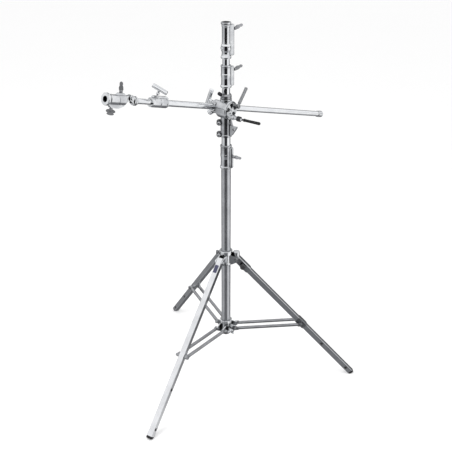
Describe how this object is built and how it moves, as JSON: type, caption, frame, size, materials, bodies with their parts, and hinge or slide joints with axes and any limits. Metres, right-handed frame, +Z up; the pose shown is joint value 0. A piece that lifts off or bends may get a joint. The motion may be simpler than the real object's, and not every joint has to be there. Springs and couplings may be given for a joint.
{
  "type": "light stand with boom arm",
  "caption": "Folding tripod light stand with telescoping risers and a tilting, extending boom arm, each ending in a socket for a stud.",
  "frame": {"origin": "on the floor, under the centre of the stand's bounding box", "axes": "+Z up along the column; +X along the levelling leg; the boom's tail points between +X and +Y"},
  "size_m": [1.2606, 1.3952, 2.015],
  "materials": {
    "chrome": "polished chrome plate",
    "satin_steel": "satin chromed steel tube",
    "cast_metal": "die-cast metal, chromed",
    "bolts": "bright zinc steel",
    "dark_metal": "blackened steel",
    "rubber": "matt black rubber",
    "black_plastic": "moulded black plastic",
    "label": "plain dark blue foil"
  },
  "bodies": {
    "base": {"base_tube": "satin_steel", "column_foot_plug": "black_plastic", "base_casting": "cast_metal", "brace_collar": "cast_metal", "brace_pivot_bolts": "bolts"},
    "base_lock_wing": {"base_lock_wing": "chrome"},
    "brace_collar_wing": {"brace_collar_wing": "chrome"},
    "leg_collar": {"leg_collar": "cast_metal", "leg_pivot_bolts": "bolts"},
    "leg_collar_knob": {"leg_collar_knob": "dark_metal"},
    "levelling_sleeve": {"levelling_sleeve": "cast_metal", "levelling_guide": "cast_metal"},
    "levelling_knob": {"levelling_knob": "black_plastic"},
    "leg_1": {"leg_1": "satin_steel", "foot_1": "rubber"},
    "leg_2": {"leg_2": "satin_steel", "foot_2": "rubber", "label_plate": "label"},
    "leg_3": {"leg_3": "satin_steel", "foot_3": "rubber"},
    "brace_1": {"brace_1": "satin_steel", "brace_1_ends": "satin_steel"},
    "brace_2": {"brace_2": "satin_steel", "brace_2_ends": "satin_steel"},
    "brace_3": {"brace_3": "satin_steel", "brace_3_ends": "satin_steel"},
    "riser_1": {"riser_1": "chrome", "riser_1_bush": "black_plastic", "riser_1_head": "cast_metal"},
    "riser_2_lock_knob": {"riser_2_lock_knob": "dark_metal"},
    "riser_2": {"riser_2": "chrome", "riser_2_bush": "black_plastic", "riser_2_casting": "cast_metal"},
    "riser_3_lock_wing": {"riser_3_lock_wing": "chrome"},
    "riser_3": {"riser_3": "chrome", "riser_3_bush": "black_plastic", "top_receiver": "cast_metal"},
    "receiver_lock_wing": {"receiver_lock_wing": "chrome"},
    "boom_bracket": {"boom_bracket": "cast_metal", "bracket_bolts": "bolts", "bracket_cover": "cast_metal"},
    "swivel_lock_lever": {"swivel_lock_lever": "dark_metal", "swivel_lock_grip": "rubber"},
    "tilt_lock_handle": {"tilt_lock_handle": "chrome"},
    "boom_sleeve": {"boom_sleeve": "cast_metal"},
    "boom_lock_t_handle": {"boom_lock_t_handle": "chrome"},
    "boom_lock_knob": {"boom_lock_knob": "chrome"},
    "boom_outer": {"boom_tube": "chrome", "boom_tail_cap": "cast_metal", "boom_collar": "cast_metal"},
    "boom_collar_t_handle": {"boom_collar_t_handle": "chrome"},
    "boom_inner": {"boom_inner_tube": "chrome", "boom_end_fork": "cast_metal", "fork_bolt": "bolts"},
    "boom_receiver": {"boom_receiver": "cast_metal"},
    "receiver_top_wing": {"receiver_top_wing": "chrome"},
    "receiver_low_wing": {"receiver_low_wing": "chrome"}
  },
  "joints": [
    {"name": "riser_1_slide", "type": "slide", "parent": "base", "child": "riser_1", "axis": [0, 0, 1], "range_m": [0, 0.95]},
    {"name": "riser_2_slide", "type": "slide", "parent": "riser_1", "child": "riser_2", "axis": [0, 0, 1], "range_m": [0, 1]},
    {"name": "riser_3_slide", "type": "slide", "parent": "riser_2", "child": "riser_3", "axis": [0, 0, 1], "range_m": [0, 1]},
    {"name": "leg_collar_slide", "type": "slide", "parent": "base", "child": "leg_collar", "axis": [0, 0, 1], "range_m": [0, 0.4771]},
    {"name": "leg_1_fold", "type": "hinge", "parent": "leg_collar", "child": "levelling_sleeve", "pos_m": [-0.0507, -0.04947, 0.73727], "axis": [0, 1, 0], "range_deg": [0, 42.39]},
    {"name": "brace_1_fold", "type": "hinge", "parent": "base", "child": "brace_1", "pos_m": [-0.0557, -0.04947, 0.301], "axis": [0, -1, 0], "range_deg": [0, 83.64]},
    {"name": "leg_2_fold", "type": "hinge", "parent": "leg_collar", "child": "leg_2", "pos_m": [-0.1407, -0.10143, 0.73727], "axis": [0.866, -0.5, 0], "range_deg": [0, 42.39]},
    {"name": "brace_2_fold", "type": "hinge", "parent": "base", "child": "brace_2", "pos_m": [-0.1382, -0.0971, 0.301], "axis": [-0.866, 0.5, 0], "range_deg": [0, 83.64]},
    {"name": "leg_3_fold", "type": "hinge", "parent": "leg_collar", "child": "leg_3", "pos_m": [-0.1407, 0.00249, 0.73727], "axis": [-0.866, -0.5, 0], "range_deg": [0, 42.39]},
    {"name": "brace_3_fold", "type": "hinge", "parent": "base", "child": "brace_3", "pos_m": [-0.1382, -0.00184, 0.301], "axis": [0.866, 0.5, 0], "range_deg": [0, 83.64]},
    {"name": "leg_1_level", "type": "slide", "parent": "levelling_sleeve", "child": "leg_1", "axis": [0.6742, 0, -0.7386], "range_m": [0, 0.09]},
    {"name": "base_lock_wing_turn", "type": "hinge", "parent": "base", "child": "base_lock_wing", "pos_m": [-0.1107, -0.04947, 1.336], "axis": [0.8829, -0.4695, 0], "continuous": true},
    {"name": "brace_collar_wing_turn", "type": "hinge", "parent": "base", "child": "brace_collar_wing", "pos_m": [-0.1107, -0.04947, 0.296], "axis": [0.5446, -0.8387, 0], "continuous": true},
    {"name": "leg_collar_knob_turn", "type": "hinge", "parent": "leg_collar", "child": "leg_collar_knob", "pos_m": [-0.1107, -0.04947, 0.772], "axis": [-1, 0, 0], "continuous": true},
    {"name": "levelling_knob_turn", "type": "hinge", "parent": "levelling_sleeve", "child": "levelling_knob", "pos_m": [-0.01834, -0.04947, 0.70182], "axis": [0, -1, 0], "continuous": true},
    {"name": "riser_2_lock_knob_turn", "type": "hinge", "parent": "riser_1", "child": "riser_2_lock_knob", "pos_m": [-0.12077, -0.0619, 1.6495], "axis": [-0.5155, -0.6366, 0.5736], "continuous": true},
    {"name": "riser_3_lock_wing_turn", "type": "hinge", "parent": "riser_2", "child": "riser_3_lock_wing", "pos_m": [-0.1107, -0.04947, 1.782], "axis": [0.9135, 0.4067, 0], "continuous": true},
    {"name": "receiver_lock_wing_turn", "type": "hinge", "parent": "riser_3", "child": "receiver_lock_wing", "pos_m": [-0.1107, -0.04947, 1.982], "axis": [0.9135, 0.4067, 0], "continuous": true},
    {"name": "boom_swivel", "type": "hinge", "parent": "riser_1", "child": "boom_bracket", "pos_m": [-0.1107, -0.04947, 1.583], "axis": [0, 0, 1], "continuous": true},
    {"name": "boom_tilt", "type": "hinge", "parent": "boom_bracket", "child": "boom_sleeve", "pos_m": [-0.15267, -0.01549, 1.583], "axis": [0.7771, -0.6293, 0], "range_deg": [-44, 60]},
    {"name": "boom_slide", "type": "slide", "parent": "boom_sleeve", "child": "boom_outer", "axis": [0.6055, 0.7478, -0.2723], "range_m": [-0.84, 0.29]},
    {"name": "boom_extend", "type": "slide", "parent": "boom_outer", "child": "boom_inner", "axis": [-0.6055, -0.7478, 0.2723], "range_m": [0, 0.9]},
    {"name": "receiver_tilt", "type": "hinge", "parent": "boom_inner", "child": "boom_receiver", "pos_m": [-0.51757, -0.4661, 1.75955], "axis": [0.7771, -0.6293, 0], "range_deg": [-85, 65]},
    {"name": "swivel_lock_lever_turn", "type": "hinge", "parent": "boom_bracket", "child": "swivel_lock_lever", "pos_m": [-0.1214, -0.06268, 1.557], "axis": [0.7771, -0.6293, 0], "continuous": true},
    {"name": "tilt_lock_handle_turn", "type": "hinge", "parent": "boom_bracket", "child": "tilt_lock_handle", "pos_m": [-0.09182, -0.02616, 1.6], "axis": [0.7771, -0.6293, 0], "range_deg": [-120, 120]},
    {"name": "boom_lock_t_handle_turn", "type": "hinge", "parent": "boom_sleeve", "child": "boom_lock_t_handle", "pos_m": [-0.15267, -0.01549, 1.583], "axis": [-0.6564, 0.6628, 0.3605], "continuous": true},
    {"name": "boom_lock_knob_turn", "type": "hinge", "parent": "boom_sleeve", "child": "boom_lock_knob", "pos_m": [-0.15267, -0.01549, 1.583], "axis": [-0.7294, 0.3848, -0.5656], "continuous": true},
    {"name": "boom_collar_t_handle_turn", "type": "hinge", "parent": "boom_outer", "child": "boom_collar_t_handle", "pos_m": [-0.43001, -0.35797, 1.7077], "axis": [0.45, -0.0396, 0.8922], "continuous": true},
    {"name": "receiver_top_wing_turn", "type": "hinge", "parent": "boom_receiver", "child": "receiver_top_wing", "pos_m": [-0.55717, -0.51501, 1.76488], "axis": [0.1714, 0.2116, 0.9622], "continuous": true},
    {"name": "receiver_low_wing_turn", "type": "hinge", "parent": "boom_receiver", "child": "receiver_low_wing", "pos_m": [-0.58381, -0.54791, 1.77686], "axis": [-0.1714, -0.2116, -0.9622], "continuous": true}
  ],
  "couplings": [
    {"joint": "leg_1_fold", "follows": "leg_collar_slide", "rad_per_m": 1.5507},
    {"joint": "brace_1_fold", "follows": "leg_collar_slide", "rad_per_m": 3.0595},
    {"joint": "leg_2_fold", "follows": "leg_collar_slide", "rad_per_m": 1.5507},
    {"joint": "brace_2_fold", "follows": "leg_collar_slide", "rad_per_m": 3.0595},
    {"joint": "leg_3_fold", "follows": "leg_collar_slide", "rad_per_m": 1.5507},
    {"joint": "brace_3_fold", "follows": "leg_collar_slide", "rad_per_m": 3.0595}
  ]
}
